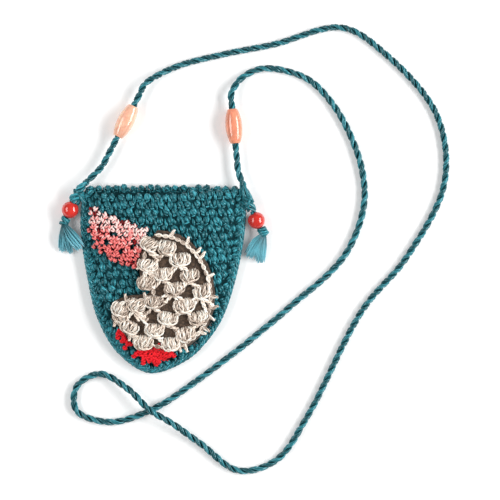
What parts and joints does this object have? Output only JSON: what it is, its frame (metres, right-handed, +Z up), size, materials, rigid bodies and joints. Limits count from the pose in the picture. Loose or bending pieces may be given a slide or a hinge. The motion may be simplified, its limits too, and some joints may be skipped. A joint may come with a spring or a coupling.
{
  "type": "lace pouch",
  "caption": "Small shield-shaped crocheted neck pouch, open at the top, with coloured bobble lace on its front, a long twisted cord with sliding beads, and a bead and tassel at each corner.",
  "frame": {"origin": "on the surface the pouch lies on, under the middle of the pouch's own box, without its cord, beads and tassels", "axes": "+Z up out of the front, +Y along the pouch from its tip to its mouth, +X to the viewer's right"},
  "size_m": [0.1841, 0.2116, 0.0165],
  "materials": {
    "teal_yarn": "shiny twisted yarn, crocheted, and laid up as cord",
    "pale_teal_yarn": "combed-out yarn ends",
    "beige_yarn": "soft crocheted thread",
    "pink_yarn": "fine crocheted thread, shaded",
    "red_yarn": "fine crocheted thread",
    "brown_cloth": "matt felted cloth",
    "coral_bead": "clouded gloss",
    "red_bead": "gloss"
  },
  "bodies": {
    "pouch": {"back_panel": "teal_yarn", "front_panel": "teal_yarn", "side_seam": "teal_yarn", "lace_backing": "brown_cloth", "bobble_lace": "beige_yarn", "pink_lace": "pink_yarn", "red_lace": "red_yarn", "neck_cord": "teal_yarn", "left_cord_lashing": "teal_yarn", "right_cord_lashing": "teal_yarn", "left_tassel": "pale_teal_yarn", "right_tassel": "pale_teal_yarn"},
    "left_slider": {"left_barrel_bead": "coral_bead"},
    "right_slider": {"right_barrel_bead": "coral_bead"},
    "left_roller": {"left_round_bead": "red_bead"},
    "right_roller": {"right_round_bead": "red_bead"}
  },
  "joints": [
    {"name": "left_barrel_slide", "type": "slide", "parent": "pouch", "child": "left_slider", "axis": [0.4619, 0.8869, 0], "range_m": [-0.008, 0.005]},
    {"name": "right_barrel_slide", "type": "slide", "parent": "pouch", "child": "right_slider", "axis": [-0.0938, 0.9956, 0], "range_m": [-0.007, 0.003]},
    {"name": "left_bead_spin", "type": "hinge", "parent": "pouch", "child": "left_roller", "pos_m": [-0.0438, 0.033, 0.0041], "axis": [-0.4301, -0.8703, -0.2401], "continuous": true},
    {"name": "right_bead_spin", "type": "hinge", "parent": "pouch", "child": "right_roller", "pos_m": [0.0437, 0.028, 0.0041], "axis": [0.5009, -0.8315, -0.2404], "continuous": true}
  ]
}
